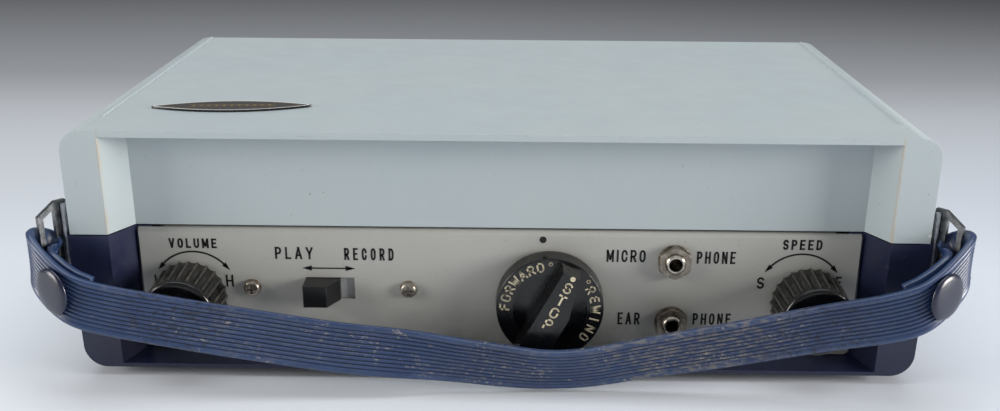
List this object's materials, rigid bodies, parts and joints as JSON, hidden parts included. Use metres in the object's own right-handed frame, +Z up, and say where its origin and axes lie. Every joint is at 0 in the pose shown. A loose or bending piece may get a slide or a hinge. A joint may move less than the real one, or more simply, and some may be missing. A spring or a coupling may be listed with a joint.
{
  "type": "portable tape recorder",
  "caption": "Battery portable reel-to-reel tape recorder: hinged lid over two reels, front panel with knobs, slide switch and jacks, and a carrying strap on side rings.",
  "frame": {"origin": "on the table, in the middle of the footprint of the case with its knobs and hinges", "axes": "+X to the user's right, +Y to the back (the controls face -Y), +Z up"},
  "size_m": [0.2388, 0.1513, 0.0673],
  "materials": {
    "base_enamel": "worn gloss enamel",
    "rubber": "matte",
    "lid_paint": "satin",
    "badge_enamel": "gloss black enamel with a gilt rim",
    "steel": "worn",
    "worn_steel": "dark, worn",
    "panel_paint": "satin grey",
    "black_plastic": "moulded",
    "navy_plastic": "textured",
    "nickel": "tarnished nickel",
    "tarnished": "tarnished",
    "brass": "plain",
    "zinc": "cast",
    "platter": "turned, rubber rimmed",
    "reel": "clear grey",
    "tape": "brown oxide",
    "felt": "felt",
    "ferrite": "bare",
    "phenolic": "phenolic board",
    "component": "painted cans",
    "cell": "printed jacket",
    "paper": "paper cone",
    "strap": "ribbed vinyl",
    "cap": "grey enamel"
  },
  "bodies": {
    "base": {"base_tub": "base_enamel", "rubber_feet": "rubber", "hinge_pins": "steel", "control_panel": "panel_paint", "volume_pot": "steel", "speed_pot": "steel", "function_bushing": "brass", "detent_spring": "steel", "switch_body": "phenolic", "switch_screws": "nickel", "microphone_jack": "nickel", "earphone_jack": "nickel", "jack_washers": "tarnished", "jack_nuts": "tarnished", "deck_plate": "zinc", "deck_screws": "steel", "spindle_bushes": "brass", "magnetic_tape": "tape", "tape_guides": "nickel", "record_head": "nickel", "circuit_board": "phenolic", "transistors": "component", "capacitors": "component", "transformers": "steel", "battery_box": "navy_plastic", "battery_cells": "cell", "battery_contacts": "nickel", "speaker_frame": "steel", "speaker_cone": "paper", "strap_brackets": "worn_steel", "bracket_rivets": "steel", "carrying_strap": "strap", "snap_caps": "cap", "snap_sockets": "brass"},
    "lid": {"lid_shell": "lid_paint", "lid_badge": "badge_enamel"},
    "battery_cover": {"battery_door": "base_enamel"},
    "volume_control": {"volume_knob": "black_plastic", "volume_shaft": "zinc"},
    "speed_control": {"speed_knob": "black_plastic", "speed_shaft": "zinc"},
    "function_control": {"function_knob": "black_plastic", "function_shaft": "steel", "function_cam": "zinc"},
    "motor_swing": {"motor_plate": "steel", "drive_motor": "steel"},
    "roller": {"drive_roller": "rubber"},
    "takeup": {"takeup_platter": "platter", "takeup_reel": "reel", "takeup_tape_pack": "tape"},
    "supply": {"supply_platter": "platter", "supply_reel": "reel", "supply_tape_pack": "tape"},
    "record_slider": {"switch_slider": "navy_plastic"},
    "eraser": {"erase_arm": "steel", "erase_magnet": "ferrite"},
    "pressure": {"pressure_arm": "steel", "felt_pad": "felt"},
    "ring_left": {"strap_ring_left": "worn_steel"},
    "ring_right": {"strap_ring_right": "worn_steel"}
  },
  "joints": [
    {"name": "lid_open", "type": "hinge", "parent": "base", "child": "lid", "pos_m": [0, 0.06955, 0.03945], "axis": [-1, 0, 0], "range_deg": [0, 100]},
    {"name": "battery_door_slide", "type": "slide", "parent": "base", "child": "battery_cover", "axis": [0, 1, 0], "range_m": [0, 0.06]},
    {"name": "volume_turn", "type": "hinge", "parent": "base", "child": "volume_control", "pos_m": [-0.0815, -0.06365, 0.0204], "axis": [0, -1, 0], "range_deg": [-135, 135]},
    {"name": "speed_turn", "type": "hinge", "parent": "base", "child": "speed_control", "pos_m": [0.0815, -0.06365, 0.0204], "axis": [0, -1, 0], "range_deg": [-135, 135]},
    {"name": "function_turn", "type": "hinge", "parent": "base", "child": "function_control", "pos_m": [0.0136, -0.06365, 0.0197], "axis": [0, -1, 0], "range_deg": [0, 52]},
    {"name": "motor_swing_turn", "type": "hinge", "parent": "base", "child": "motor_swing", "pos_m": [0, 0.05515, 0.031], "axis": [0, 0, -1], "range_deg": [0, 4.31]},
    {"name": "roller_spin", "type": "hinge", "parent": "motor_swing", "child": "roller", "pos_m": [0.00105, 0.02717, 0.04], "axis": [0, 0, 1], "continuous": true},
    {"name": "takeup_spin", "type": "hinge", "parent": "base", "child": "takeup", "pos_m": [0.0415, 0.02475, 0.04], "axis": [0, 0, 1], "continuous": true},
    {"name": "supply_spin", "type": "hinge", "parent": "base", "child": "supply", "pos_m": [-0.0415, 0.02475, 0.04], "axis": [0, 0, 1], "continuous": true},
    {"name": "record_slide", "type": "slide", "parent": "base", "child": "record_slider", "axis": [1, 0, 0], "range_m": [0, 0.0037]},
    {"name": "erase_arm_turn", "type": "hinge", "parent": "base", "child": "eraser", "pos_m": [-0.03, -0.04685, 0.047], "axis": [0, 0, 1], "range_deg": [0, 8.5]},
    {"name": "pressure_arm_turn", "type": "hinge", "parent": "base", "child": "pressure", "pos_m": [0.016, -0.04685, 0.047], "axis": [0, 0, 1], "range_deg": [0, 12]},
    {"name": "ring_left_turn", "type": "hinge", "parent": "base", "child": "ring_left", "pos_m": [-0.1114, -0.06105, 0.035], "axis": [0, 0, 1], "range_deg": [-4, 4]},
    {"name": "ring_right_turn", "type": "hinge", "parent": "base", "child": "ring_right", "pos_m": [0.1114, -0.06105, 0.035], "axis": [0, 0, -1], "range_deg": [-4, 4]}
  ],
  "couplings": [
    {"joint": "motor_swing_turn", "follows": "function_turn", "ratio": 0.08273},
    {"joint": "pressure_arm_turn", "follows": "function_turn", "ratio": 0.23},
    {"joint": "roller_spin", "follows": "takeup_spin", "ratio": -6.6038},
    {"joint": "supply_spin", "follows": "takeup_spin", "ratio": 0.6},
    {"joint": "erase_arm_turn", "follows": "record_slide", "rad_per_m": 40}
  ]
}
